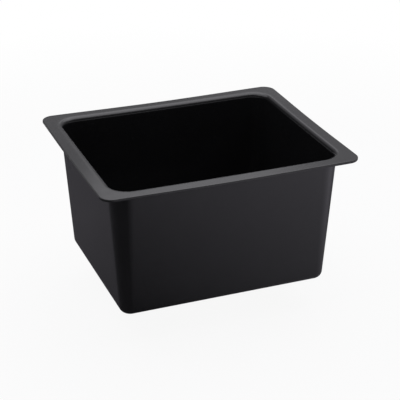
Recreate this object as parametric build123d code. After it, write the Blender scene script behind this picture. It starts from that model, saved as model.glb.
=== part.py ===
from build123d import *
import os
from math import asin, cos, degrees, radians, tan

# A laboratory sink for dropping into a worktop: one moulded basin that hangs by its rim, with a
# threaded waste outlet, a lift-out strainer and a rubber plug on a pull ring.
# Millimetres. The origin is the centre of the plane where the rim seats on the worktop.
# X runs along the long side, Y towards the back and Z up.

# Basin, outside
RIM_LENGTH = 457.2
RIM_WIDTH = 381.0
RIM_THICKNESS = 5.0
RIM_CORNER_RADIUS = 22.0
RIM_EDGE_RADIUS = 1.5
RIM_LOWER_CHAMFER = 1.0
RIM_OVERHANG_AT_ENDS = 23.9
RIM_OVERHANG_AT_SIDES = 21.8
RIM_ROOT_CHAMFER = 2.5
DEPTH = 241.3
DRAFT_ANGLE = 3.95
BODY_CORNER_RADIUS = 35.5
BASE_EDGE_RADIUS = 13.0

# Basin, wall and inside
WALL = 5.0
LIP_RADIUS = 9.0
FLOOR_LAND = 2.0
FLOOR_FALL = 6.0
SUMP_MARGIN = 12.5
SUMP_STRETCH = 10.0
RECESS_CHAMFER = 1.0
PAD_CHAMFER = 1.5

# Outlet, a dished flange and a threaded tail moulded in one piece
TAIL_RADIUS = 23.9
THREAD_DEPTH = 1.48
TRAP_THREAD_LENGTH = 25.0
RUN_OUT_WIDTH = 2.4
TAIL_CHAMFER = 1.5
FLANGE_REACH = 20.1
FLANGE_THICKNESS = 5.0
FLANGE_CHAMFER = 1.4
FLANGE_LAND = 3.0
FLANGE_SET_DOWN = 0.3
DISH_DEPTH = 2.2
THROAT_CHAMFER = 0.6
SEAT_WALL = 2.4
SEAT_DEPTH = 10.0
SEAT_TAPER_ANGLE = 7.0
LEDGE_WIDTH = 1.6

# Outlet, the pieces that clamp it to the floor of the basin
GASKET_THICKNESS = 2.0
GASKET_INSET = 1.5
SEALING_WASHER_THICKNESS = 3.0
SEALING_WASHER_REACH = 13.0
SLIP_WASHER_THICKNESS = 1.5
SLIP_WASHER_REACH = 12.0
NUT_HEIGHT = 13.0
NUT_WALL = 5.6
NUT_FACE_REACH = 12.5
NUT_FACE_THICKNESS = 3.0
NUT_BORE_CHAMFER = 1.0
LUG_COUNT = 8
LUG_WIDTH = 8.0
LUG_REACH = 4.5
LUG_RADIUS = 2.5

# Strainer
STRAINER_THICKNESS = 2.2
STRAINER_CHAMFER = 0.6
HOLE_RADIUS = 2.4
HOLE_MARGIN = 1.5
HOLE_RING_PITCH = 6.5
HOLE_COUNTS = (10, 5)
POST_RADIUS = 2.4
POST_HEIGHT = 8.0
KNOB_RADIUS = 4.6
KNOB_HEIGHT = 3.0
KNOB_GAP = 2.5

# Plug
PLUG_PROUD = 1.2
PLUG_HEIGHT = 13.0
PLUG_CHAMFER = 0.9
PLUG_WALL = 6.5
PLUG_HOLLOW_DEPTH = 6.8
CAP_MARGIN = 4.2
CAP_THICKNESS = 1.4
CAP_CHAMFER = 0.5
CAP_SUNK = 1.0
SHANK_RADIUS = 2.5
SHANK_STANDOUT = 0.8
SHANK_CHAMFER = 0.5
COLLAR_RADIUS = 4.3
COLLAR_THICKNESS = 1.0
EYE_WIRE_RADIUS = 1.25
EYE_INNER_RADIUS = 1.9
PLUG_WASHER_RADIUS = 6.5
PLUG_WASHER_THICKNESS = 1.0
PLUG_NUT_FLATS = 8.0
PLUG_NUT_HEIGHT = 4.0

# Pull ring
RING_WIRE_RADIUS = 1.25

# Clearances
LIFT_GAP = 0.3
RECESS_CLEARANCE = 1.5
TAIL_HOLE_CLEARANCE = 1.1
WASHER_CLEARANCE = 0.4
THREAD_CLEARANCE = 0.05
CAP_CLEARANCE = 0.2

# Basin sizes that follow
BODY_LENGTH = RIM_LENGTH - 2 * RIM_OVERHANG_AT_ENDS
BODY_WIDTH = RIM_WIDTH - 2 * RIM_OVERHANG_AT_SIDES
FLANGE_RADIUS = TAIL_RADIUS + FLANGE_REACH
RECESS_RADIUS = FLANGE_RADIUS + RECESS_CLEARANCE
RECESS_DEPTH = GASKET_THICKNESS + FLANGE_THICKNESS + FLANGE_SET_DOWN
SUMP_WIDTH = 2 * (RECESS_RADIUS + SUMP_MARGIN)
TAIL_HOLE_RADIUS = TAIL_RADIUS + TAIL_HOLE_CLEARANCE
BASE_Z = RIM_THICKNESS - DEPTH
FLOOR_EDGE_Z = BASE_Z + WALL
FLOOR_Z = FLOOR_EDGE_Z - FLOOR_FALL
RECESS_Z = FLOOR_Z - RECESS_DEPTH
PAD_Z = RECESS_Z - WALL

# Outlet sizes that follow
FLANGE_Z = RECESS_Z + GASKET_THICKNESS
FLANGE_TOP_Z = FLANGE_Z + FLANGE_THICKNESS
THROAT_Z = FLANGE_TOP_Z - DISH_DEPTH
SEAT_END_Z = THROAT_Z - SEAT_DEPTH
SEAT_SLOPE = tan(radians(SEAT_TAPER_ANGLE))
SEAT_RADIUS = TAIL_RADIUS - SEAT_WALL
BORE_RADIUS = SEAT_RADIUS - SEAT_DEPTH * SEAT_SLOPE
TAIL_BORE_RADIUS = BORE_RADIUS - LEDGE_WIDTH
WASHER_BORE_RADIUS = TAIL_RADIUS + WASHER_CLEARANCE
SEALING_WASHER_Z = PAD_Z - SEALING_WASHER_THICKNESS
SLIP_WASHER_Z = SEALING_WASHER_Z - SLIP_WASHER_THICKNESS
NUT_Z = SLIP_WASHER_Z - NUT_HEIGHT
RUN_OUT_Z = NUT_Z - RUN_OUT_WIDTH
TAIL_END_Z = RUN_OUT_Z - TRAP_THREAD_LENGTH

# Plug and strainer sizes that follow
PLUG_TOP_Z = THROAT_Z + PLUG_PROUD
PLUG_BOTTOM_Z = PLUG_TOP_Z - PLUG_HEIGHT
PLUG_WEB_Z = PLUG_BOTTOM_Z + PLUG_HOLLOW_DEPTH
PLUG_TOP_RADIUS = SEAT_RADIUS - LIFT_GAP / cos(radians(SEAT_TAPER_ANGLE))
PLUG_BOTTOM_RADIUS = PLUG_TOP_RADIUS - (THROAT_Z - PLUG_BOTTOM_Z) * SEAT_SLOPE
CAP_RADIUS = PLUG_TOP_RADIUS - CAP_MARGIN
CAP_Z = PLUG_TOP_Z - CAP_SUNK
CAP_TOP_Z = CAP_Z + CAP_THICKNESS
COLLAR_TOP_Z = CAP_TOP_Z + COLLAR_THICKNESS
EYE_RADIUS = EYE_INNER_RADIUS + EYE_WIRE_RADIUS
EYE_Z = COLLAR_TOP_Z + EYE_RADIUS + EYE_WIRE_RADIUS / 2
PLUG_WASHER_Z = PLUG_WEB_Z - PLUG_WASHER_THICKNESS
PLUG_NUT_Z = PLUG_WASHER_Z - PLUG_NUT_HEIGHT
SHANK_END_Z = PLUG_NUT_Z - SHANK_STANDOUT
SHANK_BORE_RADIUS = SHANK_RADIUS + THREAD_CLEARANCE
RING_RADIUS = (CAP_RADIUS + PLUG_TOP_RADIUS) / 4
RING_END_Z = PLUG_TOP_Z + LIFT_GAP + RING_WIRE_RADIUS
RING_TILT = degrees(asin((EYE_Z - RING_END_Z) / (2 * RING_RADIUS)))
KNOB_TOP_Z = PLUG_BOTTOM_Z - KNOB_GAP
STRAINER_Z = KNOB_TOP_Z - KNOB_HEIGHT - POST_HEIGHT - STRAINER_THICKNESS
LEDGE_Z = STRAINER_Z - LIFT_GAP


def turned(*points):
    """A solid turned about Z from a closed outline of (radius, height) points."""
    return revolve(Plane.XZ * make_face(Polyline(*points, close=True)), Axis.Z)


def disc(radius, bottom, top):
    """An upright cylinder on the Z axis between two heights."""
    return Pos(0, 0, bottom) * extrude(Circle(radius), top - bottom)


def circles_at(solid, height):
    """The round edges of a solid that lie at one height."""
    return solid.edges().filter_by(GeomType.CIRCLE).filter_by_position(Axis.Z, height, height)


def largest(edges):
    """The edge with the largest radius."""
    return edges.sort_by(SortBy.RADIUS)[-1]


def smallest(edges):
    """The edge with the smallest radius."""
    return edges.sort_by(SortBy.RADIUS)[0]


def wire_ring(radius, wire_radius):
    """A ring of wire about the Z axis, its round section drawn with eight flats."""
    section = Pos(radius, 0) * RegularPolygon(wire_radius, 8, rotation=22.5)
    return revolve(Plane.XZ * section, Axis.Z)


def wall_outline(height, inset):
    """The drafted wall's outline at one height, moved inwards by the inset."""
    inwards = inset - height * tan(radians(DRAFT_ANGLE))
    length = BODY_LENGTH - 2 * inwards
    width = BODY_WIDTH - 2 * inwards
    return RectangleRounded(length, width, BODY_CORNER_RADIUS - inwards)


def tub(top, bottom, inset):
    """The drafted tub between two heights, with its rounded bottom edge."""
    outline = Pos(0, 0, top) * wall_outline(top, inset)
    walls = extrude(outline, bottom - top, taper=DRAFT_ANGLE)
    bottom_face = walls.faces().sort_by(Axis.Z)[0]
    return fillet(bottom_face.edges(), BASE_EDGE_RADIUS - inset)


def floor_fall(edge_height):
    """The four planes that fall from just inside the floor's edge to the level sump."""
    edge = wall_outline(BASE_Z, BASE_EDGE_RADIUS + FLOOR_LAND).bounding_box().size
    sump_length = SUMP_WIDTH + SUMP_STRETCH
    planes = Wedge(
        edge.X,
        FLOOR_FALL,
        edge.Y,
        (edge.X - sump_length) / 2,
        (edge.Y - SUMP_WIDTH) / 2,
        (edge.X + sump_length) / 2,
        (edge.Y + SUMP_WIDTH) / 2,
    )
    return Pos(0, 0, edge_height - FLOOR_FALL / 2) * Rot(-90, 0, 0) * planes


def rim():
    """The flat rim, rounded all along its upper edge and bevelled along its lower one."""
    plate = extrude(RectangleRounded(RIM_LENGTH, RIM_WIDTH, RIM_CORNER_RADIUS), RIM_THICKNESS)
    plate = fillet(plate.faces().sort_by(Axis.Z)[-1].edges(), RIM_EDGE_RADIUS)
    return chamfer(plate.faces().sort_by(Axis.Z)[0].edges(), RIM_LOWER_CHAMFER)


def basin_outside():
    """The outside of the basin, filled: rim, tub, sloping underside and the outlet's pad."""
    solid = rim() + tub(0, BASE_Z, 0)
    underside = solid.faces().filter_by(Axis.Z).sort_by(SortBy.DISTANCE)[0]
    solid = chamfer(underside.inner_wires()[0].edges(), RIM_ROOT_CHAMFER)
    pad = disc(RECESS_RADIUS + WALL, PAD_Z, FLOOR_Z)
    pad = chamfer(circles_at(pad, PAD_Z), PAD_CHAMFER)
    return solid + floor_fall(BASE_Z) + pad


def basin_inside():
    """The hollow of the basin: tub, sloping floor, the outlet's recess and the tail's hole."""
    hollow = tub(RIM_THICKNESS, FLOOR_EDGE_Z, WALL) + floor_fall(FLOOR_EDGE_Z)
    recess = disc(RECESS_RADIUS, RECESS_Z, FLOOR_Z)
    hole = disc(TAIL_HOLE_RADIUS, PAD_Z, RECESS_Z)
    return hollow + recess + hole


def basin():
    """The moulded basin: one even wall from the rim to the recess for the outlet."""
    shell = basin_outside() - basin_inside()
    top = shell.faces().filter_by(Axis.Z).sort_by(Axis.Z)[-1]
    shell = fillet(top.inner_wires()[0].edges(), LIP_RADIUS)
    return chamfer(circles_at(shell, FLOOR_Z), RECESS_CHAMFER)


def outlet_body():
    """The outlet: dished flange, tapered seat for the plug, ledge for the strainer and tail."""
    body = turned(
        (FLANGE_RADIUS, FLANGE_TOP_Z),
        (FLANGE_RADIUS - FLANGE_LAND, FLANGE_TOP_Z),
        (SEAT_RADIUS, THROAT_Z),
        (BORE_RADIUS, SEAT_END_Z),
        (BORE_RADIUS, LEDGE_Z),
        (TAIL_BORE_RADIUS, LEDGE_Z),
        (TAIL_BORE_RADIUS, TAIL_END_Z),
        (TAIL_RADIUS - TAIL_CHAMFER, TAIL_END_Z),
        (TAIL_RADIUS, TAIL_END_Z + TAIL_CHAMFER),
        (TAIL_RADIUS, RUN_OUT_Z),
        (TAIL_RADIUS - THREAD_DEPTH, RUN_OUT_Z + THREAD_DEPTH / 2),
        (TAIL_RADIUS - THREAD_DEPTH, NUT_Z - THREAD_DEPTH / 2),
        (TAIL_RADIUS, NUT_Z),
        (TAIL_RADIUS, FLANGE_Z),
        (FLANGE_RADIUS, FLANGE_Z),
    )
    body = chamfer(largest(circles_at(body, FLANGE_TOP_Z)), FLANGE_CHAMFER)
    return chamfer(circles_at(body, THROAT_Z), THROAT_CHAMFER)


def outlet_gasket():
    """The soft gasket between the outlet's flange and the floor of the recess."""
    ring = Circle(FLANGE_RADIUS - GASKET_INSET) - Circle(TAIL_HOLE_RADIUS)
    return Pos(0, 0, RECESS_Z) * extrude(ring, GASKET_THICKNESS)


def sealing_washer():
    """The rubber washer under the basin's pad."""
    ring = Circle(TAIL_HOLE_RADIUS + SEALING_WASHER_REACH) - Circle(WASHER_BORE_RADIUS)
    return Pos(0, 0, SEALING_WASHER_Z) * extrude(ring, SEALING_WASHER_THICKNESS)


def slip_washer():
    """The hard washer that lets the lock nut turn without dragging the rubber one."""
    ring = Circle(TAIL_HOLE_RADIUS + SLIP_WASHER_REACH) - Circle(WASHER_BORE_RADIUS)
    return Pos(0, 0, SLIP_WASHER_Z) * extrude(ring, SLIP_WASHER_THICKNESS)


def lock_nut():
    """The lock nut: a wide face, a round body with lugs to grip it by and a chamfered bore."""
    body_radius = TAIL_RADIUS + NUT_WALL
    face_z = SLIP_WASHER_Z - NUT_FACE_THICKNESS
    nut = disc(body_radius, NUT_Z, face_z)
    nut += disc(TAIL_RADIUS + NUT_FACE_REACH, face_z, SLIP_WASHER_Z)
    nut -= disc(TAIL_RADIUS + THREAD_CLEARANCE, NUT_Z, SLIP_WASHER_Z)
    nut = chamfer(smallest(circles_at(nut, NUT_Z)), NUT_BORE_CHAMFER)
    lug_length = LUG_REACH + NUT_WALL / 2
    outline = RectangleRounded(lug_length, LUG_WIDTH, LUG_RADIUS)
    lug = Pos(body_radius + LUG_REACH - lug_length / 2, 0, NUT_Z) * extrude(outline, face_z - NUT_Z)
    for number in range(LUG_COUNT):
        nut += Rot(0, 0, 360 * number / LUG_COUNT) * lug
    return nut


def strainer():
    """The lift-out strainer: a disc with rings of holes, and a post and knob in its middle."""
    plate_top = STRAINER_Z + STRAINER_THICKNESS
    plate = disc(BORE_RADIUS - LIFT_GAP, STRAINER_Z, plate_top)
    plate = chamfer(circles_at(plate, plate_top), STRAINER_CHAMFER)
    outer_ring = TAIL_BORE_RADIUS - HOLE_MARGIN - HOLE_RADIUS
    hole = disc(HOLE_RADIUS, STRAINER_Z, plate_top)
    for ring, count in enumerate(HOLE_COUNTS):
        from_middle = outer_ring - ring * HOLE_RING_PITCH
        for number in range(count):
            plate -= Rot(0, 0, 360 * number / count) * Pos(from_middle, 0, 0) * hole
    knob_z = KNOB_TOP_Z - KNOB_HEIGHT
    grip_z = KNOB_TOP_Z - KNOB_HEIGHT / 2
    handle = turned(
        (0, plate_top),
        (1.6 * POST_RADIUS, plate_top),
        (POST_RADIUS, plate_top + POST_RADIUS),
        (POST_RADIUS, knob_z),
        (KNOB_RADIUS, grip_z),
        (KNOB_RADIUS, KNOB_TOP_Z),
        (0, KNOB_TOP_Z),
    )
    handle = chamfer(circles_at(handle, KNOB_TOP_Z), STRAINER_CHAMFER)
    return plate + handle


def plug_rubber():
    """The rubber plug: the seat's own taper, a sunk place for the cap and a hollow underneath."""
    cap_place_radius = CAP_RADIUS + CAP_CLEARANCE
    hollow_radius = PLUG_BOTTOM_RADIUS - PLUG_WALL
    body = turned(
        (SHANK_BORE_RADIUS, CAP_Z),
        (cap_place_radius, CAP_Z),
        (cap_place_radius, PLUG_TOP_Z),
        (PLUG_TOP_RADIUS, PLUG_TOP_Z),
        (PLUG_TOP_RADIUS, THROAT_Z),
        (PLUG_BOTTOM_RADIUS, PLUG_BOTTOM_Z),
        (hollow_radius, PLUG_BOTTOM_Z),
        (hollow_radius, PLUG_WEB_Z),
        (SHANK_BORE_RADIUS, PLUG_WEB_Z),
    )
    edges = [largest(circles_at(body, height)) for height in (PLUG_TOP_Z, PLUG_BOTTOM_Z)]
    return chamfer(edges, PLUG_CHAMFER)


def plug_cap():
    """The metal cap let into the top of the plug."""
    ring = Circle(CAP_RADIUS) - Circle(SHANK_BORE_RADIUS)
    cap = Pos(0, 0, CAP_Z) * extrude(ring, CAP_THICKNESS)
    return chamfer(largest(circles_at(cap, CAP_TOP_Z)), CAP_CHAMFER)


def plug_eyelet():
    """The eye bolt through the plug: an eye for the pull ring, a collar and a plain shank."""
    eye = Pos(0, 0, EYE_Z) * Rot(0, 90, 0) * wire_ring(EYE_RADIUS, EYE_WIRE_RADIUS)
    collar = disc(COLLAR_RADIUS, CAP_TOP_Z, COLLAR_TOP_Z)
    shank = disc(SHANK_RADIUS, SHANK_END_Z, CAP_TOP_Z)
    shank = chamfer(circles_at(shank, SHANK_END_Z), SHANK_CHAMFER)
    return eye + collar + shank


def plug_washer():
    """The small washer under the web of the plug."""
    ring = Circle(PLUG_WASHER_RADIUS) - Circle(SHANK_BORE_RADIUS)
    return Pos(0, 0, PLUG_WASHER_Z) * extrude(ring, PLUG_WASHER_THICKNESS)


def plug_nut():
    """The hexagon nut on the eye bolt, with its corners turned off."""
    hexagon = RegularPolygon(PLUG_NUT_FLATS / 2, 6, major_radius=False)
    blank = Pos(0, 0, PLUG_NUT_Z) * extrude(hexagon, PLUG_NUT_HEIGHT)
    corner_radius = PLUG_NUT_FLATS / 2 / cos(radians(30))
    turned_off = disc(corner_radius, PLUG_NUT_Z, PLUG_WASHER_Z)
    turned_off = chamfer(turned_off.edges().filter_by(GeomType.CIRCLE), corner_radius / 10)
    return (blank & turned_off) - disc(SHANK_BORE_RADIUS, PLUG_NUT_Z, PLUG_WASHER_Z)


def pull_ring():
    """The ring through the eye, leaning forwards until its far side lies on the plug."""
    ring = Pos(0, -RING_RADIUS, 0) * wire_ring(RING_RADIUS, RING_WIRE_RADIUS)
    return Pos(0, 0, EYE_Z) * Rot(RING_TILT, 0, 0) * ring


SUB_PARTS = (
    basin,
    outlet_body,
    outlet_gasket,
    sealing_washer,
    slip_washer,
    lock_nut,
    strainer,
    plug_rubber,
    plug_cap,
    plug_eyelet,
    plug_washer,
    plug_nut,
    pull_ring,
)

os.makedirs("parts", exist_ok=True)
for make in SUB_PARTS:
    export_step(make(), f"parts/{make.__name__}.step")
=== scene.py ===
from math import asin, ceil, cos, pi, radians, sin, sqrt, tan

import bmesh
import bpy
from mathutils import Matrix, Vector


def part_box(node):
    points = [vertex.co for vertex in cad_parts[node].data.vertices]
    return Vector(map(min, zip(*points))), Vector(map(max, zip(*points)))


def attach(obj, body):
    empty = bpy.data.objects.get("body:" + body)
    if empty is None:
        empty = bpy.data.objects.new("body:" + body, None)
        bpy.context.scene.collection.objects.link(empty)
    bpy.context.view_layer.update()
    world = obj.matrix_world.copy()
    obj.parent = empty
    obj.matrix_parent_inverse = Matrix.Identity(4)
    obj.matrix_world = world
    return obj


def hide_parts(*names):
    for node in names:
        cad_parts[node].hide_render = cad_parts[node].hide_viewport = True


# The looks of a black moulded laboratory sink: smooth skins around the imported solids, materials,
# studio light and the photograph's camera. Metres, in the solids' own frame.

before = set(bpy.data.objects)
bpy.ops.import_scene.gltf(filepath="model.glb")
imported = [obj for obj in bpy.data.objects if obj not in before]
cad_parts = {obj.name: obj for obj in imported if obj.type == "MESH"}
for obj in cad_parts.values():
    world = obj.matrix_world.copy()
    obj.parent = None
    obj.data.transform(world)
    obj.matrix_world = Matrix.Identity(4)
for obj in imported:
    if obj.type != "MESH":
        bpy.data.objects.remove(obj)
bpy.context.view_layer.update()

# Sizes read from the solids
RIM_HALF_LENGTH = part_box("basin")[1].x
RIM_HALF_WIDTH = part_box("basin")[1].y
RIM_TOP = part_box("basin")[1].z
PAD_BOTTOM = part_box("basin")[0].z
FLANGE_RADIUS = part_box("outlet_body")[1].x
FLANGE_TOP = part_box("outlet_body")[1].z
TAIL_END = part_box("outlet_body")[0].z
GASKET_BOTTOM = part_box("outlet_gasket")[0].z
GASKET_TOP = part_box("outlet_gasket")[1].z
NUT_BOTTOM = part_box("lock_nut")[0].z
NUT_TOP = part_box("lock_nut")[1].z
PLUG_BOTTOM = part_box("plug_rubber")[0].z
PLUG_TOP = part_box("plug_rubber")[1].z
PLUG_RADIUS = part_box("plug_rubber")[1].x
CAP_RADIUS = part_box("plug_cap")[1].x
CAP_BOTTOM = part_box("plug_cap")[0].z
CAP_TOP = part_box("plug_cap")[1].z
EYE_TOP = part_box("plug_eyelet")[1].z
SHANK_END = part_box("plug_eyelet")[0].z
COLLAR_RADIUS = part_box("plug_eyelet")[1].x
STRAINER_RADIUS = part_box("strainer")[1].x
STRAINER_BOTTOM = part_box("strainer")[0].z
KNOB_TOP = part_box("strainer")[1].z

# Outlet, plug and strainer sizes, as in the solids
TAIL_RADIUS = 0.0239
THREAD_DEPTH = 0.00148
THREAD_PITCH = 0.0023
RUN_OUT_WIDTH = 0.0024
FLANGE_LAND = 0.003
DISH_DEPTH = 0.0022
SEAT_WALL = 0.0024
SEAT_DEPTH = 0.010
SEAT_TAPER = tan(radians(7))
LEDGE_WIDTH = 0.0016
LEDGE_GAP = 0.0003
WASHER_CLEARANCE = 0.0004
NUT_CLEARANCE = 0.0001
NUT_WALL = 0.0056
NUT_FACE_THICKNESS = 0.003
NUT_FACE_REACH = 0.0125
LUG_COUNT = 8
LUG_HALF_WIDTH = 0.004
LUG_REACH = 0.0045
LUG_RADIUS = 0.0025
LUG_ROOT_RADIUS = 0.001
PLATE_THICKNESS = 0.0022
HOLE_RADIUS = 0.0024
HOLE_MARGIN = 0.0015
HOLE_RING_PITCH = 0.0065
HOLE_COUNTS = (10, 5)
POST_RADIUS = 0.0024
POST_FOOT_RADIUS = 1.6 * POST_RADIUS
KNOB_RADIUS = 0.0046
KNOB_HEIGHT = 0.003
PLUG_WALL = 0.0065
PLUG_HOLLOW_DEPTH = 0.0068
CAP_CLEARANCE = 0.0002
SHANK_RADIUS = 0.0025
SHANK_CLEARANCE = 0.00005
COLLAR_THICKNESS = 0.001
WIRE_RADIUS = 0.00125
EYE_INNER_RADIUS = 0.0019

# Basin sizes, as in the solid
OVERHANG_AT_ENDS = 0.0239
OVERHANG_AT_SIDES = 0.0218
RIM_CORNER_RADIUS = 0.022
RIM_EDGE_RADIUS = 0.0015
RIM_ROOT_RADIUS = 0.0025
BODY_CORNER_RADIUS = 0.0355
DEPTH = 0.2413
DRAFT = tan(radians(3.95))
WALL = 0.005
LIP_RADIUS = 0.009
BASE_EDGE_RADIUS = 0.013
FLOOR_LAND = 0.002
FLOOR_FALL = 0.006
RECESS_CLEARANCE = 0.0015
RECESS_CHAMFER = 0.001
SUMP_MARGIN = 0.0125
SUMP_STRETCH = 0.010
SUMP_CORNER_RADIUS = 0.016
PAD_EDGE_RADIUS = 0.0015
TAIL_HOLE_CLEARANCE = 0.0011

# The slight sag of the rim between its corners, which dies out down the wall. The lip takes a
# share of it.
RIM_SAG = 0.002
SAG_REACH = 0.02
LIP_SHARE = 0.45

# Rounded edges of the small pieces, from the sharpest to the widest
HAIR_ROUND = 0.0001
SLIGHT_ROUND = 0.0002
FINE_ROUND = 0.0003
SMALL_ROUND = 0.0004
SHANK_ROUND = 0.0005
MOULDED_ROUND = 0.0006
THROAT_ROUND = 0.0008
SOFT_ROUND = 0.001
FOOT_ROUND = 0.0012
FLANGE_ROUND = 0.0014
WIDE_ROUND = 0.002

# Thread ridge: how far it is sunk in its core, its half widths in pitches, the turns over which it
# fades in and out and the share of its width that is left at its ends
THREAD_SUNK = THREAD_DEPTH / 6
THREAD_ROOT_HALF = 0.46
THREAD_CREST_HALF = 0.12
THREAD_FADE_TURNS = 0.25
THREAD_END_WIDTH = 0.2

# Mesh fineness
SIDE_STEPS = 20
CORNER_STEPS = 14
ARC_STEP = radians(11)
TURN_STEPS = 96
WIRE_STEPS = 16
RIM_STEPS = 5
FLOOR_STEPS = 8
SUMP_STEPS = 4
NUT_ARC_POINTS = 5
NUT_EDGE_STEPS = 4
HOLE_STEPS = 10
PLATE_EDGE_STEPS = 2
SHARP_ANGLE = radians(35)
MERGE_DISTANCE = 1e-6

# Handle length, in radii, that makes a spline of four points round
CIRCLE_HANDLE = 0.5523

# Camera of the photograph. Azimuths count from +Y towards +X.
CAMERA_AIM = Vector((-0.0091, -0.0473, -0.0939))
CAMERA_AZIMUTH = radians(201.409)
CAMERA_ELEVATION = radians(25.586)
CAMERA_ROLL = radians(0.104)
CAMERA_DISTANCE = 2.2078
CAMERA_LENS = 113.65
SENSOR_WIDTH = 36

# Plastics: how clouding, scuffs and rubbed edges change their colour and roughness
PLASTIC_IOR = 1.49
COOL_TINT = 1.08
CLOUDING_PALER = 1.25
PLASTIC_MOTTLE = 0.035
SCUFF_SHARE = 0.35
SCUFF_PALER = 0.02
SCUFF_ROUGHER = 0.06
RUB_SHARE = 0.8
RUB_PALER = 0.05
RUB_ROUGHER = 0.12
GRAIN_STRENGTH = 0.6

# Rubber: powdery bloom, pebbled skin, and edges that rubbing leaves darker and smoother
RUBBER_IOR = 1.52
BLOOM_PALER = 2.6
BLOOM_TINT = 1.04
RUBBER_MOTTLE = 0.06
RUBBER_EDGE = 0.0008
RUBBER_RUB_DARKER = 0.5
RUBBER_RUB_SMOOTHER = 0.2
PEBBLE_HEIGHT = 0.00006
PEBBLE_STRENGTH = 0.7

# Stainless steel: its colour clean, dulled by water and rubbed bright, and its turning marks
STEEL = (0.46, 0.46, 0.47, 1.0)
DULLED_STEEL = (0.38, 0.38, 0.39, 1.0)
RUBBED_STEEL = (0.52, 0.52, 0.53, 1.0)
STEEL_ROUGHNESS = (0.26, 0.34)
STEEL_DULL_ROUGHER = 0.10
STEEL_RUB_SMOOTHER = 0.07
STEEL_EDGE = 0.0006
MARK_HEIGHT = 0.00001
MARK_STRENGTH = 0.6

# Lamps, each in a direction from the basin that is an azimuth and an elevation in degrees
LAMPS = (
    dict(name="overhead_wide", way=(0, 79), distance=1.32, length=3.0, width=1.8, brightness=1.1),
    dict(name="overhead_middle", way=(56, 75), distance=1.3, length=1.4, width=1.1, brightness=0.7),
    dict(name="behind", way=(20, 37), distance=3.0, length=0.95, width=1.45, brightness=0.6),
)
LAMP_COLOUR = (0.965, 0.955, 1.0)

# Room as reflections see it: white overhead, along the horizon and low in front, dim elsewhere
ROOM_LIGHT = (0.965, 0.955, 1.0, 1.0)
AMBIENT_LIGHT = (0.32, 0.32, 0.33, 1.0)
WHITE_WAY = (0.30, 0.25, 0.92)
ROOM_DIM = 0.05
ROOM_DIM_UP_TO = 0.35
ROOM_WHITE_FROM = 0.98
HORIZON_WHITE_UP_TO = 0.03
HORIZON_DIM_FROM = 0.08
FRONT_WAY = (0.0, -1.0, 0.0)
FRONT_DIM_UP_TO = 0.3
FRONT_WHITE_FROM = 0.6
FRONT_WHITE_UP_TO = 0.12
FRONT_DIM_FROM = 0.22

# Floor
FLOOR_SIZE = 60.0
FLOOR_LEVEL = 0.8
FLOOR_WHITENING = 0.92
NEAR_FLOOR = 0.9
FAR_FLOOR = 1.6

# Glowing card on the floor that only reflections see, a painted reflection: painted dark at the
# left, painted pale at the front right and at the back right. Each pale part grows along its way
# between two distances, and the front one fades towards the back.
CARD_SIZE = 5.0
CARD_LIFT = 0.001
PAINTED_REFLECTION_TINT = (1.02, 0.98, 1.10, 1.0)
PAINTED_REFLECTION_PALE = 0.9
CARD_DARK_UP_TO = -0.086
CARD_PALE_FROM = 0.78
CARD_FRONT_WAY = (0.866, -0.5, 0.0)
CARD_SIDE_SHARE = 0.12
CARD_FADE_FROM = -0.26
CARD_FADE_TO = 0.05
CARD_BACK_WAY = (0.8, 0.6, 0.0)
CARD_BACK_START = 0.45
PAINTED_REFLECTION_DARK = 0.055
PAINTED_REFLECTION_DARK_AT_BACK = 0.11
CARD_FRONT = -0.15
CARD_BACK = 0.35

# Outlet and plug sizes that follow
THROAT = FLANGE_TOP - DISH_DEPTH
SEAT_RADIUS = TAIL_RADIUS - SEAT_WALL
BORE_RADIUS = SEAT_RADIUS - SEAT_DEPTH * SEAT_TAPER
TAIL_BORE_RADIUS = BORE_RADIUS - LEDGE_WIDTH
WASHER_BORE_RADIUS = TAIL_RADIUS + WASHER_CLEARANCE
EYE_RADIUS = EYE_INNER_RADIUS + WIRE_RADIUS
EYE_CENTRE = EYE_TOP - EYE_RADIUS - WIRE_RADIUS

# Basin sizes that follow. Distances out from the wall count from where it meets the rim's seat.
BODY_HALF_LENGTH = RIM_HALF_LENGTH - OVERHANG_AT_ENDS
BODY_HALF_WIDTH = RIM_HALF_WIDTH - OVERHANG_AT_SIDES
BASE = RIM_TOP - DEPTH
BASE_LOW = BASE - FLOOR_FALL
FLOOR_EDGE = BASE + WALL
FLOOR_LOW = FLOOR_EDGE - FLOOR_FALL
LAND_OUT = BASE * DRAFT - BASE_EDGE_RADIUS - FLOOR_LAND
MOUTH_OUT = RIM_TOP * DRAFT - WALL
FLAT_START_OUT = MOUTH_OUT + LIP_RADIUS
FLAT_END_OUT = OVERHANG_AT_ENDS - RIM_EDGE_RADIUS
RECESS_RADIUS = FLANGE_RADIUS + RECESS_CLEARANCE
SUMP_HALF_WIDTH = RECESS_RADIUS + SUMP_MARGIN
SUMP_HALF_LENGTH = SUMP_HALF_WIDTH + SUMP_STRETCH / 2
PAD_RADIUS = RECESS_RADIUS + WALL
TAIL_HOLE_RADIUS = TAIL_RADIUS + TAIL_HOLE_CLEARANCE


def rounded(corners, closed=True):
    """The points of an outline of (x, y, radius) corners, each corner rounded by its radius."""
    points = []
    count = len(corners)
    for number, (x, y, radius) in enumerate(corners):
        here = Vector((x, y))
        at_end = not closed and number in (0, count - 1)
        if radius == 0 or at_end:
            points.append(here)
            continue
        to_last = (Vector(corners[number - 1][:2]) - here).normalized()
        to_next = (Vector(corners[(number + 1) % count][:2]) - here).normalized()
        half_angle = to_last.angle(to_next) / 2
        reach = radius / tan(half_angle)
        centre = here + (to_last + to_next).normalized() * radius / sin(half_angle)
        start = here + to_last * reach - centre
        turn = (pi - 2 * half_angle) * (1 if to_last.cross(to_next) < 0 else -1)
        steps = max(2, ceil(abs(turn) / ARC_STEP))
        for step in range(steps + 1):
            angle = turn * step / steps
            points.append(centre + Matrix.Rotation(angle, 2) @ start)
    return points


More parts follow.
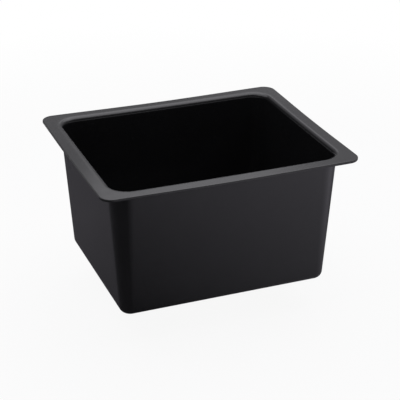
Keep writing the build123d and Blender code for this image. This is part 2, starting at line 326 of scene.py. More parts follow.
def upright(height):
    """A step straight up by a height."""
    return Vector((0, 0, height))


def around(angle, radius=1.0, height=0.0):
    """A point at an angle about Z."""
    return Vector((radius * cos(angle), radius * sin(angle), height))


def add_mesh(name, shape, body, slot):
    """A smooth-shaded piece that rides on a body and takes a material slot's finish."""
    vertices, faces = shape
    mesh = bpy.data.meshes.new(name)
    mesh.from_pydata(vertices, [], faces)
    work = bmesh.new()
    work.from_mesh(mesh)
    bmesh.ops.remove_doubles(work, verts=work.verts, dist=MERGE_DISTANCE)
    bmesh.ops.recalc_face_normals(work, faces=work.faces)
    for face in work.faces:
        face.smooth = True
    for edge in work.edges:
        edge.smooth = len(edge.link_faces) < 2 or edge.calc_face_angle() < SHARP_ANGLE
    work.to_mesh(mesh)
    work.free()
    piece = bpy.data.objects.new(name, mesh)
    bpy.context.scene.collection.objects.link(piece)
    piece.modifiers.new("even_normals", "WEIGHTED_NORMAL").keep_sharp = True
    mesh.materials.append(MATERIALS[slot])
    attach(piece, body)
    return piece


def skin(rings, closed=True):
    """Vertices and faces of a skin through rings of points, the last ring joined to the first."""
    across = len(rings[0])
    vertices = [point for ring in rings for point in ring]
    faces = []
    for ring in range(len(rings) if closed else len(rings) - 1):
        after = (ring + 1) % len(rings)
        for column in range(across):
            beside = (column + 1) % across
            faces.append(
                (
                    ring * across + column,
                    ring * across + beside,
                    after * across + beside,
                    after * across + column,
                )
            )
    return vertices, faces


def turned(corners):
    """Vertices and faces turned about Z from a closed outline of (radius, height, rounding)."""
    angles = [2 * pi * step / TURN_STEPS for step in range(TURN_STEPS)]
    rings = []
    for radius, height in rounded(corners):
        rings.append([around(angle, radius, height) for angle in angles])
    return skin(rings)


def joined(*shapes):
    """The vertices and faces of several shapes as one shape."""
    vertices = []
    faces = []
    for shape_vertices, shape_faces in shapes:
        start = len(vertices)
        vertices += shape_vertices
        faces += [tuple(start + corner for corner in face) for face in shape_faces]
    return vertices, faces


def torus(radius, place):
    """Vertices and faces of a ring of round wire about Z, moved by a matrix."""
    angles = [2 * pi * step / TURN_STEPS for step in range(TURN_STEPS)]
    rings = []
    for step in range(WIRE_STEPS):
        wire_angle = 2 * pi * step / WIRE_STEPS
        from_axis = radius + WIRE_RADIUS * cos(wire_angle)
        height = WIRE_RADIUS * sin(wire_angle)
        rings.append([place @ around(angle, from_axis, height) for angle in angles])
    return skin(rings)


def rounded_rectangle(half_length, half_width, radius):
    """The points of a rounded rectangle, with the same number on each side and corner."""
    quarters = ((1, 1), (-1, 1), (-1, -1), (1, -1))
    centres = []
    for across, along in quarters:
        centres.append(Vector((across * (half_length - radius), along * (half_width - radius))))
    points = []
    for quarter, centre in enumerate(centres):
        for step in range(CORNER_STEPS + 1):
            angle = pi / 2 * (quarter + step / CORNER_STEPS)
            points.append(centre + around(angle, radius).to_2d())
        side_start = points[-1]
        side_end = centres[(quarter + 1) % 4] + around(pi / 2 * (quarter + 1), radius).to_2d()
        for step in range(1, SIDE_STEPS):
            points.append(side_start.lerp(side_end, step / SIDE_STEPS))
    return points


def basin_corner_radius(out):
    """The corner radius of the basin's outline at a distance out from its wall."""
    if out <= FLAT_START_OUT:
        return BODY_CORNER_RADIUS + out
    if out >= FLAT_END_OUT:
        return RIM_CORNER_RADIUS - (OVERHANG_AT_ENDS - out)
    share = (out - FLAT_START_OUT) / (FLAT_END_OUT - FLAT_START_OUT)
    inner = BODY_CORNER_RADIUS + FLAT_START_OUT
    return inner + share * (RIM_CORNER_RADIUS - RIM_EDGE_RADIUS - inner)


def basin_ring(out, height):
    """The basin's outline at a distance out from its wall and a height, with the rim's sag."""
    share = min(1, max(0, (out - FLAT_START_OUT) / (FLAT_END_OUT - FLAT_START_OUT)))
    half_length = BODY_HALF_LENGTH + out
    half_width = BODY_HALF_WIDTH + out - share * (OVERHANG_AT_ENDS - OVERHANG_AT_SIDES)
    outline = rounded_rectangle(half_length, half_width, basin_corner_radius(out))
    sag = RIM_SAG * (LIP_SHARE + (1 - LIP_SHARE) * share)
    sag *= min(1, max(0, 1 + height / SAG_REACH))
    ring = []
    for x, y in outline:
        middle = 1 - (x / RIM_HALF_LENGTH) ** 2 * (y / RIM_HALF_WIDTH) ** 2
        ring.append(Vector((x, y, height - sag * middle**2)))
    return ring


def basin_walls():
    """Rings from under the base, up the outside, over the rim and lip and down the inside."""
    outline = rounded(
        [
            (LAND_OUT, BASE, 0),
            (BASE * DRAFT, BASE, BASE_EDGE_RADIUS),
            (0, 0, RIM_ROOT_RADIUS),
            (OVERHANG_AT_ENDS, 0, RIM_EDGE_RADIUS),
            (OVERHANG_AT_ENDS, RIM_TOP, RIM_EDGE_RADIUS),
            (MOUTH_OUT, RIM_TOP, LIP_RADIUS),
            (FLOOR_EDGE * DRAFT - WALL, FLOOR_EDGE, BASE_EDGE_RADIUS - WALL),
            (LAND_OUT, FLOOR_EDGE, 0),
        ],
        closed=False,
    )
    rings = []
    for here, after in zip(outline, outline[1:] + outline[-1:]):
        rings.append(basin_ring(*here))
        if (after - here).length > LIP_RADIUS and here.x > -WALL and after.x > -WALL:
            for step in range(1, RIM_STEPS):
                rings.append(basin_ring(*here.lerp(after, step / RIM_STEPS)))
    return rings


def sump_outline():
    """The rounded rectangle around the outlet, down to which the floor falls."""
    return rounded_rectangle(SUMP_HALF_LENGTH, SUMP_HALF_WIDTH, SUMP_CORNER_RADIUS)


def falling_rings(height):
    """Rings of a floor that falls from its edge, at a height, to the sump."""
    half_length = BODY_HALF_LENGTH + LAND_OUT
    half_width = BODY_HALF_WIDTH + LAND_OUT
    outer = rounded_rectangle(half_length, half_width, basin_corner_radius(LAND_OUT))
    pairs = list(zip(outer, sump_outline()))
    rings = []
    for step in range(1, FLOOR_STEPS + 1):
        share = step / FLOOR_STEPS
        lift = upright(height - FLOOR_FALL * share)
        rings.append([edge.lerp(sump, share).to_3d() + lift for edge, sump in pairs])
    return rings


def sump_rings(circle, height):
    """Rings across the level sump, from its outline to a circle in it."""
    outer = [point.to_3d() + upright(height) for point in sump_outline()]
    rings = []
    for step in range(1, SUMP_STEPS):
        share = step / SUMP_STEPS
        rings.append([edge.lerp(inner, share) for edge, inner in zip(outer, circle)])
    return rings


def outlet_place():
    """Rings down into the recess for the flange, through the hole for the tail and round the pad."""
    outline = rounded(
        [
            (RECESS_RADIUS + RECESS_CHAMFER, FLOOR_LOW, 0),
            (RECESS_RADIUS, FLOOR_LOW - RECESS_CHAMFER, 0),
            (RECESS_RADIUS, GASKET_BOTTOM, 0),
            (TAIL_HOLE_RADIUS, GASKET_BOTTOM, 0),
            (TAIL_HOLE_RADIUS, PAD_BOTTOM, 0),
            (PAD_RADIUS, PAD_BOTTOM, PAD_EDGE_RADIUS),
            (PAD_RADIUS, BASE_LOW, 0),
        ],
        closed=False,
    )
    ways = [point.normalized().to_3d() for point in sump_outline()]
    rings = []
    for radius, height in outline:
        rings.append([way * radius + upright(height) for way in ways])
    return rings


def basin_shell():
    """The moulded basin as one skin: tub, rim, rolled lip, falling floor and outlet recess."""
    place = outlet_place()
    floor = falling_rings(FLOOR_EDGE) + sump_rings(place[0], FLOOR_LOW)
    underside = falling_rings(BASE) + sump_rings(place[-1], BASE_LOW)
    shape = skin(basin_walls() + floor + place + underside[::-1])
    piece = add_mesh("basin_shell", shape, "sink", "basin_plastic")
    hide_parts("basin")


def helical_ridge(core_radius, low, high):
    """Vertices and faces of the thread's ridge wound round a core, thinned out at both ends."""
    section = (
        (-THREAD_SUNK, -THREAD_ROOT_HALF),
        (THREAD_DEPTH, -THREAD_CREST_HALF),
        (THREAD_DEPTH, THREAD_CREST_HALF),
        (-THREAD_SUNK, THREAD_ROOT_HALF),
    )
    turns = (high - low) / THREAD_PITCH - 1
    steps = round(turns * TURN_STEPS)
    fade = THREAD_FADE_TURNS * TURN_STEPS
    rings = []
    for step in range(steps + 1):
        thin = min(1, (step + 1) / fade, (steps + 1 - step) / fade)
        width = THREAD_PITCH * (THREAD_END_WIDTH + (1 - THREAD_END_WIDTH) * thin)
        level = low + THREAD_PITCH * (0.5 + step / TURN_STEPS)
        ring = []
        for out, rise in section:
            radius = core_radius - THREAD_SUNK + (out + THREAD_SUNK) * thin
            ring.append(around(2 * pi * step / TURN_STEPS, radius, level + rise * width))
        rings.append(ring)
    vertices, faces = skin(rings, closed=False)
    last = len(vertices) - len(section)
    faces.append((3, 2, 1, 0))
    faces.append((last, last + 1, last + 2, last + 3))
    return vertices, faces


def outlet_moulding():
    """The outlet's flange, seat, ledge and tail, and the thread that takes the trap's nut."""
    seat_end = THROAT - SEAT_DEPTH
    ledge = STRAINER_BOTTOM - LEDGE_GAP
    core_radius = TAIL_RADIUS - THREAD_DEPTH
    body = turned(
        [
            (FLANGE_RADIUS, FLANGE_TOP, FLANGE_ROUND),
            (FLANGE_RADIUS - FLANGE_LAND, FLANGE_TOP, WIDE_ROUND),
            (SEAT_RADIUS, THROAT, THROAT_ROUND),
            (BORE_RADIUS, seat_end, WIDE_ROUND),
            (BORE_RADIUS, ledge, FINE_ROUND),
            (TAIL_BORE_RADIUS, ledge, SMALL_ROUND),
            (TAIL_BORE_RADIUS, TAIL_END, SMALL_ROUND),
            (core_radius, TAIL_END, MOULDED_ROUND),
            (core_radius, NUT_BOTTOM - THREAD_DEPTH / 2, SLIGHT_ROUND),
            (TAIL_RADIUS, NUT_BOTTOM, 0),
            (TAIL_RADIUS, GASKET_TOP, 0),
            (FLANGE_RADIUS, GASKET_TOP, SMALL_ROUND),
        ]
    )
    thread = helical_ridge(core_radius, TAIL_END + MOULDED_ROUND, NUT_BOTTOM - RUN_OUT_WIDTH)
    piece = add_mesh("outlet_moulding", joined(body, thread), "sink", "outlet_plastic")
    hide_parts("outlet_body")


def washer(name, node, slot, edge):
    """A flat washer with softened edges in place of a plain one."""
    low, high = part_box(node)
    shape = turned(
        [
            (WASHER_BORE_RADIUS, low.z, edge),
            (high.x, low.z, edge),
            (high.x, high.z, edge),
            (WASHER_BORE_RADIUS, high.z, edge),
        ]
    )
    piece = add_mesh(name, shape, "sink", slot)
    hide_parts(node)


def lugged_outline(body_radius):
    """The lock nut's outline seen from below: a circle with evenly spaced round-ended lugs."""
    root = sqrt(body_radius**2 - LUG_HALF_WIDTH**2)
    lug_end = body_radius + LUG_REACH
    half_step = pi / LUG_COUNT
    root_angle = asin(LUG_HALF_WIDTH / body_radius)
    gap_angle = 2 * (half_step - root_angle)
    lug_corners = [
        (root, -LUG_HALF_WIDTH, LUG_ROOT_RADIUS),
        (lug_end, -LUG_HALF_WIDTH, LUG_RADIUS),
        (lug_end, LUG_HALF_WIDTH, LUG_RADIUS),
        (root, LUG_HALF_WIDTH, LUG_ROOT_RADIUS),
    ]
    for step in range(1, NUT_ARC_POINTS + 1):
        angle = root_angle + gap_angle * step / (NUT_ARC_POINTS + 1)
        lug_corners.append((body_radius * cos(angle), body_radius * sin(angle), 0))
    corners = []
    for lug in range(LUG_COUNT):
        turn = Matrix.Rotation(2 * half_step * lug, 2)
        for x, y, radius in lug_corners:
            place = turn @ Vector((x, y))
            corners.append((place.x, place.y, radius))
    return rounded(corners)


def inset(outline, distance):
    """A closed outline moved inwards, point by point along its normals."""
    moved = []
    for number, point in enumerate(outline):
        along = outline[(number + 1) % len(outline)] - outline[number - 1]
        inwards = Vector((-along.y, along.x)).normalized()
        moved.append(point + inwards * distance)
    return moved


def lock_nut_body():
    """The lock nut: lugged body with softened edges under a wide round face."""
    bore_radius = TAIL_RADIUS + NUT_CLEARANCE
    face_radius = TAIL_RADIUS + NUT_FACE_REACH
    face_low = NUT_TOP - NUT_FACE_THICKNESS
    lug_top = face_low + MOULDED_ROUND
    outline = lugged_outline(TAIL_RADIUS + NUT_WALL)
    bore = [point.normalized() * bore_radius for point in outline]
    levels = [(bore, NUT_BOTTOM)]
    for step in range(NUT_EDGE_STEPS + 1):
        angle = pi / 2 * step / NUT_EDGE_STEPS
        edge = inset(outline, MOULDED_ROUND * (1 - sin(angle)))
        levels.append((edge, NUT_BOTTOM + MOULDED_ROUND * (1 - cos(angle))))
    levels += [(outline, lug_top), (bore, lug_top)]
    rings = []
    for ring, height in levels:
        rings.append([point.to_3d() + upright(height) for point in ring])
    face = turned(
        [
            (bore_radius, face_low, 0),
            (face_radius, face_low, MOULDED_ROUND),
            (face_radius, NUT_TOP, MOULDED_ROUND),
            (bore_radius, NUT_TOP, 0),
        ]
    )
    piece = add_mesh("lock_nut_body", joined(skin(rings), face), "sink", "outlet_plastic")
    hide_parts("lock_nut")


def circle_spline(curve, centre, radius):
    """A round spline in a flat curve."""
    spline = curve.splines.new("BEZIER")
    spline.bezier_points.add(3)
    for number, point in enumerate(spline.bezier_points):
        angle = pi / 2 * number
        handle = CIRCLE_HANDLE * radius * around(angle + pi / 2)
        point.co = centre + around(angle, radius)
        point.handle_left = point.co - handle
        point.handle_right = point.co + handle
    spline.use_cyclic_u = True


def perforated_plate():
    """Vertices and faces of the strainer's plate, with rounded edges at its rim and holes."""
    curve = bpy.data.curves.new("plate_outline", "CURVE")
    curve.dimensions = "2D"
    curve.fill_mode = "BOTH"
    curve.resolution_u = HOLE_STEPS
    curve.extrude = PLATE_THICKNESS / 2 - SMALL_ROUND
    curve.bevel_depth = SMALL_ROUND
    curve.bevel_resolution = PLATE_EDGE_STEPS
    curve.offset = -SMALL_ROUND
    circle_spline(curve, upright(0), STRAINER_RADIUS)
    outer_ring = TAIL_BORE_RADIUS - HOLE_MARGIN - HOLE_RADIUS
    for ring, count in enumerate(HOLE_COUNTS):
        from_middle = outer_ring - ring * HOLE_RING_PITCH
        for number in range(count):
            centre = around(2 * pi * number / count, from_middle)
            circle_spline(curve, centre, HOLE_RADIUS)
    maker = bpy.data.objects.new("plate_maker", curve)
    bpy.context.scene.collection.objects.link(maker)
    bpy.context.view_layer.update()
    graph = bpy.context.evaluated_depsgraph_get()
    flat = bpy.data.meshes.new_from_object(maker.evaluated_get(graph))
    lift = upright(STRAINER_BOTTOM + PLATE_THICKNESS / 2)
    vertices = [vertex.co + lift for vertex in flat.vertices]
    faces = [tuple(face.vertices) for face in flat.polygons]
    bpy.data.objects.remove(maker)
    return vertices, faces


def strainer():
    """The strainer: a perforated plate with softened holes, and its post and knob."""
    plate_top = STRAINER_BOTTOM + PLATE_THICKNESS
    handle = turned(
        [
            (0, plate_top - SMALL_ROUND, 0),
            (POST_FOOT_RADIUS, plate_top - SMALL_ROUND, 0),
            (POST_FOOT_RADIUS, plate_top, 0),
            (POST_RADIUS, plate_top + POST_RADIUS / 2, WIDE_ROUND),
            (POST_RADIUS, KNOB_TOP - KNOB_HEIGHT, SOFT_ROUND),
            (KNOB_RADIUS, KNOB_TOP - KNOB_HEIGHT / 2, SOFT_ROUND),
            (KNOB_RADIUS, KNOB_TOP, SOFT_ROUND),
            (0, KNOB_TOP, 0),
        ]
    )
    shape = joined(perforated_plate(), handle)
    piece = add_mesh("strainer_moulding", shape, "strainer", "outlet_plastic")
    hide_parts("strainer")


def plug_stopper():
    """The tapered rubber of the plug, with the place for its cap and its hollow underside."""
    bottom_radius = PLUG_RADIUS - (THROAT - PLUG_BOTTOM) * SEAT_TAPER
    hollow_radius = bottom_radius - PLUG_WALL
    cap_place = CAP_RADIUS + CAP_CLEARANCE
    bore = SHANK_RADIUS + SHANK_CLEARANCE
    web = PLUG_BOTTOM + PLUG_HOLLOW_DEPTH
    shape = turned(
        [
            (bore, CAP_BOTTOM, 0),
            (cap_place, CAP_BOTTOM, SLIGHT_ROUND),
            (cap_place, PLUG_TOP, SMALL_ROUND),
            (PLUG_RADIUS, PLUG_TOP, SOFT_ROUND),
            (PLUG_RADIUS, THROAT, SOFT_ROUND),
            (bottom_radius, PLUG_BOTTOM, FOOT_ROUND),
            (hollow_radius, PLUG_BOTTOM, FOOT_ROUND),
            (hollow_radius, web, WIDE_ROUND),
            (bore, web, 0),
        ]
    )
    piece = add_mesh("plug_stopper", shape, "plug", "plug_rubber")
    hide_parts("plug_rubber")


def cap_disc():
    """The steel disc let into the top of the plug."""
    bore = SHANK_RADIUS + SHANK_CLEARANCE
    shape = turned(
        [
            (bore, CAP_BOTTOM, 0),
            (CAP_RADIUS, CAP_BOTTOM, SLIGHT_ROUND),
            (CAP_RADIUS, CAP_TOP, MOULDED_ROUND),
            (bore, CAP_TOP, HAIR_ROUND),
        ]
    )
    piece = add_mesh("cap_disc", shape, "plug", "stainless")
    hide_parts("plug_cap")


def eye_bolt():
    """The bolt through the plug, with its collar and the eye that holds the pull ring."""
    collar_top = CAP_TOP + COLLAR_THICKNESS
    bolt = turned(
        [
            (0, collar_top, 0),
            (COLLAR_RADIUS, collar_top, SMALL_ROUND),
            (COLLAR_RADIUS, CAP_TOP, SLIGHT_ROUND),
            (SHANK_RADIUS, CAP_TOP, 0),
            (SHANK_RADIUS, SHANK_END, SHANK_ROUND),
            (0, SHANK_END, 0),
        ]
    )
    place = Matrix.Translation(upright(EYE_CENTRE)) @ Matrix.Rotation(pi / 2, 4, "Y")
    shape = joined(bolt, torus(EYE_RADIUS, place))
    piece = add_mesh("eye_bolt", shape, "plug", "stainless")
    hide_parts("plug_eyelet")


def ring_loop():
    """The pull ring as smooth round wire, lying where its solid lies."""
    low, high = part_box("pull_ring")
    radius = high.x - WIRE_RADIUS
    tilt = asin((EYE_CENTRE - (low.z + WIRE_RADIUS)) / (2 * radius))
    place = Matrix.Translation(upright(EYE_CENTRE)) @ Matrix.Rotation(tilt, 4, "X")
    place = place @ Matrix.Translation((0, -radius, 0))
    piece = add_mesh("ring_loop", torus(radius, place), "ring", "stainless")
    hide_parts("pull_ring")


class Shader:
    """A node tree with short calls to add and link its nodes."""

    def __init__(self, tree):
        self.tree = tree
        self.tree.nodes.clear()

    def add(self, kind, inputs=None, **settings):
        """A new node with its settings, and with values or links on its inputs."""
        made = self.tree.nodes.new(kind)
        for name, value in settings.items():
            setattr(made, name, value)
        for name, value in (inputs or {}).items():
            if isinstance(value, bpy.types.NodeSocket):
                self.tree.links.new(value, made.inputs[name])
            else:
                made.inputs[name].default_value = value
        return made

    def math(self, operation, *values):
        """One step of arithmetic."""
        return self.add("ShaderNodeMath", dict(enumerate(values)), operation=operation).outputs[0]

    def place(self):
        """The place on the object, in metres."""
        return self.add("ShaderNodeTexCoord").outputs["Object"]

    def parts(self, vector):
        """The X, Y and Z of a vector."""
        return self.add("ShaderNodeSeparateXYZ", {0: vector}).outputs

    def along(self, vector, way):
        """How far a vector reaches in a direction."""
        made = self.add("ShaderNodeVectorMath", {0: vector, 1: way}, operation="DOT_PRODUCT")
        return made.outputs["Value"]

    def length(self, vector):
        """A vector's length."""
        made = self.add("ShaderNodeVectorMath", {0: vector}, operation="LENGTH")
        return made.outputs["Value"]

    def noise(self, scale, detail, roughness=0.5, vector=None):
        """Noise with a number of lumps to the metre."""
        if vector is None:
            vector = self.place()
        inputs = {"Vector": vector, "Scale": scale, "Detail": detail, "Roughness": roughness}
        return self.add("ShaderNodeTexNoise", inputs).outputs["Fac"]

    def spread(self, value, low, high, from_low=0.3, from_high=0.7):
        """A value's range, or most of a noise's, spread over another and held at its ends."""
        inputs = {"Value": value, "From Min": from_low, "From Max": from_high}
        inputs.update({"To Min": low, "To Max": high})
        return self.add("ShaderNodeMapRange", inputs).outputs["Result"]

    def mix(self, share, first, second):
        """A mix of two colours."""
        made = self.add("ShaderNodeMix", {"Factor": share, 6: first, 7: second}, data_type="RGBA")
        return made.outputs[2]

    def worn_edges(self, reach):
        """A patchy mask along outer edges: there, rays sent inside soon meet the far side."""
        settings = {"samples": 4, "inside": True, "only_local": True}
        inside = self.add("ShaderNodeAmbientOcclusion", {"Distance": reach}, **settings)
        edge = self.spread(inside.outputs["AO"], 1, 0, from_low=0.45, from_high=0.85)
        patches = self.noise(scale=85, detail=6, roughness=0.65)
        patchy = self.spread(patches, 0.15, 1, from_low=0.42, from_high=0.60)
        return self.math("MULTIPLY", edge, patchy)

    def bump(self, height, distance, strength, normal=None):
        """The normals of a rough surface, on top of other normals."""
        inputs = {"Height": height, "Distance": distance, "Strength": strength}
        if normal is not None:
            inputs["Normal"] = normal
        return self.add("ShaderNodeBump", inputs).outputs["Normal"]

    def finish(self, surface, kind="ShaderNodeOutputMaterial"):
        """The tree's output."""
        self.add(kind, {"Surface": surface})


def grey(level, blue=1.0):
    """A grey, or with more blue a cool one."""
    return (level, level, level * blue, 1.0)


def new_material(name):
    """A new material, and its empty node tree."""
    material = bpy.data.materials.new(name)
    material.use_nodes = True
    return material, Shader(material.node_tree)


def plastic(name, level, roughness, grain, waviness, edge):
    """Satin moulded plastic: faint clouding, mould grain, slow waviness, scuffs and rubbed edges."""
    material, shader = new_material(name)
    clouding = shader.spread(shader.noise(scale=22, detail=4), 0, 0.6)
    specks = shader.noise(scale=130, detail=6, roughness=0.65)
    scuffs = shader.spread(specks, 0, 1, from_low=0.62, from_high=0.72)
    rubbed = shader.worn_edges(edge)
    colour = shader.mix(clouding, grey(level, COOL_TINT), grey(CLOUDING_PALER * level, COOL_TINT))
    scuffed = shader.math("MULTIPLY", scuffs, SCUFF_SHARE)
    colour = shader.mix(scuffed, colour, grey(level + SCUFF_PALER))
    worn = shader.math("MULTIPLY", rubbed, RUB_SHARE)
    colour = shader.mix(worn, colour, grey(level + RUB_PALER))
    blotches = shader.noise(scale=60, detail=5, roughness=0.6)
    mottle = shader.spread(blotches, roughness - PLASTIC_MOTTLE, roughness + PLASTIC_MOTTLE)
    rough = shader.math("ADD", mottle, shader.math("MULTIPLY", scuffs, SCUFF_ROUGHER))
    rough = shader.math("ADD", rough, shader.math("MULTIPLY", rubbed, RUB_ROUGHER))
    swell = shader.noise(scale=9, detail=2, roughness=0.4)
    waves = shader.bump(swell, distance=waviness, strength=1.0)
    pits = shader.noise(scale=1400, detail=3, roughness=0.6)
    surface = shader.bump(pits, distance=grain, strength=GRAIN_STRENGTH, normal=waves)
    inputs = {"Base Color": colour, "Roughness": rough, "Normal": surface, "IOR": PLASTIC_IOR}
    shader.finish(shader.add("ShaderNodeBsdfPrincipled", inputs).outputs[0])
    return material


def rubber(name, level, roughness):
    """Matt black rubber: a powdery bloom in patches, a pebbled skin and edges rubbed smooth."""
    material, shader = new_material(name)
    patches = shader.noise(scale=160, detail=5, roughness=0.6)
    bloom = shader.spread(patches, 0, 1, from_low=0.45, from_high=0.75)
    rubbed = shader.worn_edges(RUBBER_EDGE)
    colour = shader.mix(bloom, grey(level), grey(BLOOM_PALER * level, BLOOM_TINT))
    colour = shader.mix(rubbed, colour, grey(RUBBER_RUB_DARKER * level))
    blotches = shader.noise(scale=420, detail=4)
    mottle = shader.spread(blotches, roughness - RUBBER_MOTTLE, roughness + RUBBER_MOTTLE)
    rough = shader.math("SUBTRACT", mottle, shader.math("MULTIPLY", rubbed, RUBBER_RUB_SMOOTHER))
    pits = shader.noise(scale=2600, detail=2)
    pebbles = shader.bump(pits, distance=PEBBLE_HEIGHT, strength=PEBBLE_STRENGTH)
    inputs = {"Base Color": colour, "Roughness": rough, "Normal": pebbles, "IOR": RUBBER_IOR}
    shader.finish(shader.add("ShaderNodeBsdfPrincipled", inputs).outputs[0])
    return material


def stainless(name):
    """Turned stainless steel: fine circular marks, water-dulled patches and bright rubbed edges."""
    material, shader = new_material(name)
    x, y, z = shader.parts(shader.place())
    from_axis = shader.length(shader.add("ShaderNodeCombineXYZ", {0: x, 1: y}).outputs[0])
    turned_place = shader.add("ShaderNodeCombineXYZ", {0: from_axis, 1: z}).outputs[0]
    marks = shader.noise(scale=5200, detail=3, roughness=0.7, vector=turned_place)
    patches = shader.noise(scale=180, detail=4, roughness=0.6)
    dulled = shader.spread(patches, 0, 1, from_low=0.45, from_high=0.75)
    rubbed = shader.worn_edges(STEEL_EDGE)
    colour = shader.mix(dulled, STEEL, DULLED_STEEL)
    colour = shader.mix(rubbed, colour, RUBBED_STEEL)
    rough = shader.spread(marks, *STEEL_ROUGHNESS)
    rough = shader.math("ADD", rough, shader.math("MULTIPLY", dulled, STEEL_DULL_ROUGHER))
    rough = shader.math("SUBTRACT", rough, shader.math("MULTIPLY", rubbed, STEEL_RUB_SMOOTHER))
    fine = shader.bump(marks, distance=MARK_HEIGHT, strength=MARK_STRENGTH)
    inputs = {"Base Color": colour, "Metallic": 1.0, "Roughness": rough, "Normal": fine}
    shader.finish(shader.add("ShaderNodeBsdfPrincipled", inputs).outputs[0])
    return material


def finish_node(name, slot):
    """A solid that stays in view takes the same finish as the pieces around it."""
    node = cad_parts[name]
    node.data.materials.clear()
    node.data.materials.append(MATERIALS[slot])


def direction(azimuth, elevation):
    """A direction, its azimuth counted from +Y towards +X."""
    level = cos(elevation)
    return Vector((sin(azimuth) * level, cos(azimuth) * level, sin(elevation)))


def add_camera():
    """The photograph's camera."""
    back = direction(CAMERA_AZIMUTH, CAMERA_ELEVATION)
    data = bpy.data.cameras.new("camera")
    data.sensor_width = SENSOR_WIDTH
    data.lens = CAMERA_LENS
    camera = bpy.data.objects.new("camera", data)
    bpy.context.scene.collection.objects.link(camera)
    turn = back.to_track_quat("Z", "Y").to_matrix().to_4x4() @ Matrix.Rotation(CAMERA_ROLL, 4, "Z")
    camera.matrix_world = Matrix.Translation(CAMERA_AIM + back * CAMERA_DISTANCE) @ turn
    bpy.context.scene.camera = camera


def reflected_room(shader):
    """The room's brightness to reflections, from direction to direction."""
    way = shader.add("ShaderNodeTexCoord").outputs["Generated"]
    height = shader.parts(way)[2]
    upwards = shader.along(way, WHITE_WAY)
    above = shader.spread(upwards, ROOM_DIM, 1, ROOM_DIM_UP_TO, ROOM_WHITE_FROM)
    horizon = shader.spread(height, 1, 0, HORIZON_WHITE_UP_TO, HORIZON_DIM_FROM)
    forwards = shader.along(way, FRONT_WAY)
    in_front = shader.spread(forwards, 0, 1, FRONT_DIM_UP_TO, FRONT_WHITE_FROM)
    low_down = shader.spread(height, 1, 0, FRONT_WHITE_UP_TO, FRONT_DIM_FROM)
    front = shader.math("MULTIPLY", in_front, low_down)
    return shader.math("MAXIMUM", shader.math("MAXIMUM", above, horizon), front)


def add_world():
    """A room that is white to the eye, shaded to reflections and a dim grey light to the rest."""
    world = bpy.data.worlds.new("room")
    world.use_nodes = True
    bpy.context.scene.world = world
    shader = Shader(world.node_tree)
    path = shader.add("ShaderNodeLightPath").outputs
    onward = shader.math("MAXIMUM", path["Is Glossy Ray"], path["Is Transmission Ray"])
    lit = shader.mix(onward, AMBIENT_LIGHT, ROOM_LIGHT)
    glossy = shader.math("MULTIPLY", onward, reflected_room(shader))
    level = shader.math("ADD", glossy, shader.math("SUBTRACT", 1, onward))
    unseen = shader.add("ShaderNodeBackground", {"Color": lit, "Strength": level}).outputs[0]
    white = shader.add("ShaderNodeBackground", {"Color": grey(1), "Strength": 1.0}).outputs[0]
    inputs = {0: path["Is Camera Ray"], 1: unseen, 2: white}
    mixed = shader.add("ShaderNodeMixShader", inputs).outputs[0]
    shader.finish(mixed, "ShaderNodeOutputWorld")


def add_ground(name, height, size):
    """A level square at a height, which isn't part of the object, and its material's nodes."""
    corners = []
    for across, along in ((-1, -1), (1, -1), (1, 1), (-1, 1)):
        corners.append((across * size / 2, along * size / 2, height))
    mesh = bpy.data.meshes.new(name)
    mesh.from_pydata(corners, [], [(0, 1, 2, 3)])
    ground = bpy.data.objects.new(name, mesh)
    bpy.context.scene.collection.objects.link(ground)
    material, shader = new_material(name)
    material.cycles.emission_sampling = "NONE"
    mesh.materials.append(material)
    return ground, shader


def add_floor():
    """The plain pale floor, which turns into the white room further off and keeps the shadow."""
    shader = add_ground("floor", TAIL_END, FLOOR_SIZE)[1]
    far = shader.spread(shader.length(shader.place()), 0, 1, NEAR_FLOOR, FAR_FLOOR)
    path = shader.add("ShaderNodeLightPath").outputs
    whitening = shader.spread(far, FLOOR_WHITENING, 1, 0, 1)
    seen = shader.math("MULTIPLY", path["Is Camera Ray"], whitening)
    onward = shader.math("MAXIMUM", path["Is Glossy Ray"], path["Is Transmission Ray"])
    share = shader.math("MAXIMUM", seen, shader.math("MULTIPLY", onward, far))
    paint = shader.add("ShaderNodeBsdfDiffuse", {"Color": grey(FLOOR_LEVEL)}).outputs[0]
    white = shader.add("ShaderNodeEmission", {"Color": grey(1), "Strength": 1.0}).outputs[0]
    shader.finish(shader.add("ShaderNodeMixShader", {0: share, 1: paint, 2: white}).outputs[0])


def painted_reflection_level(shader):
    """The card's glow from place to place, which paints the reflections dark and pale."""
    place = shader.place()
    backwards = shader.parts(place)[1]
    # Painted pale reflection towards the front right and the back right, over a painted dark reflection
    front_out = shader.along(place, CARD_FRONT_WAY)
    front = shader.spread(front_out, 0, PAINTED_REFLECTION_PALE, CARD_DARK_UP_TO, CARD_PALE_FROM)
    fading = shader.spread(backwards, 1, CARD_SIDE_SHARE, CARD_FADE_FROM, CARD_FADE_TO)
    front = shader.math("MULTIPLY", front, fading)
    back_out = shader.math("SUBTRACT", shader.along(place, CARD_BACK_WAY), CARD_BACK_START)
    back = shader.spread(back_out, 0, PAINTED_REFLECTION_PALE, CARD_DARK_UP_TO, CARD_PALE_FROM)
    dark = shader.spread(backwards, PAINTED_REFLECTION_DARK, PAINTED_REFLECTION_DARK_AT_BACK, CARD_FRONT, CARD_BACK)
    return shader.math("MAXIMUM", shader.math("MAXIMUM", front, back), dark)


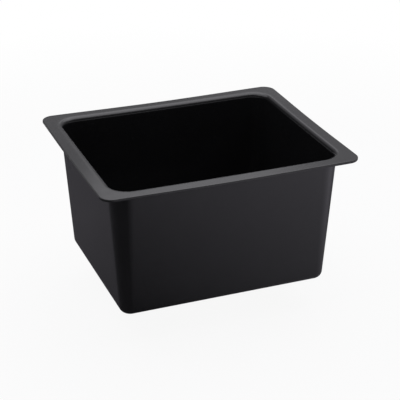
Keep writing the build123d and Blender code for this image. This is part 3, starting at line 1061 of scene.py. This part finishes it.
def add_painted_reflection_card():
    """A glowing card on the floor that only reflections see, a painted reflection that fades out
    further off.
    """
    card, shader = add_ground("painted_reflection_card", TAIL_END + CARD_LIFT, CARD_SIZE)
    card.visible_camera = False
    card.visible_diffuse = False
    card.visible_shadow = False
    near = shader.spread(shader.length(shader.place()), 1, 0, NEAR_FLOOR, FAR_FLOOR)
    clear = shader.add("ShaderNodeBsdfTransparent").outputs[0]
    # Its emission is the painted reflection: dark at the left, pale at the front right and back right
    inputs = {"Color": PAINTED_REFLECTION_TINT, "Strength": painted_reflection_level(shader)}
    face = shader.add("ShaderNodeEmission", inputs).outputs[0]
    shader.finish(shader.add("ShaderNodeMixShader", {0: near, 1: clear, 2: face}).outputs[0])


def add_lamp(name, way, distance, length, width, brightness):
    """A rectangular soft lamp in a direction from the basin, and turned to it."""
    azimuth, elevation = way
    out = direction(radians(azimuth), radians(elevation))
    data = bpy.data.lights.new(name, "AREA")
    data.shape = "RECTANGLE"
    data.size = length
    data.size_y = width
    data.energy = brightness * pi * length * width
    data.color = LAMP_COLOUR
    lamp = bpy.data.objects.new(name, data)
    bpy.context.scene.collection.objects.link(lamp)
    lamp.location = out * distance
    lamp.rotation_euler = out.to_track_quat("Z", "Y").to_euler()
    lamp.visible_camera = False


MATERIALS = {
    "basin_plastic": plastic(
        "basin_plastic", level=0.0075, roughness=0.18, grain=0.00006, waviness=0.00035, edge=0.0024
    ),
    "outlet_plastic": plastic(
        "outlet_plastic", level=0.0085, roughness=0.28, grain=0.00003, waviness=0.00005, edge=0.0009
    ),
    "slip_washer_plastic": plastic(
        "slip_washer_plastic", level=0.55, roughness=0.42, grain=0.000012, waviness=0.00005, edge=0.0006
    ),
    "seal_rubber": rubber("seal_rubber", level=0.012, roughness=0.62),
    "plug_rubber": rubber("plug_rubber", level=0.010, roughness=0.55),
    "stainless": stainless("stainless"),
}

basin_shell()
outlet_moulding()
washer("sealing_ring", "sealing_washer", "seal_rubber", MOULDED_ROUND)
washer("slip_ring", "slip_washer", "slip_washer_plastic", FINE_ROUND)
lock_nut_body()
strainer()
plug_stopper()
cap_disc()
eye_bolt()
ring_loop()
finish_node("outlet_gasket", "seal_rubber")
finish_node("plug_washer", "stainless")
finish_node("plug_nut", "stainless")

add_world()
add_floor()
add_painted_reflection_card()
for lamp in LAMPS:
    add_lamp(**lamp)
add_camera()
bpy.context.scene.view_settings.view_transform = "Standard"
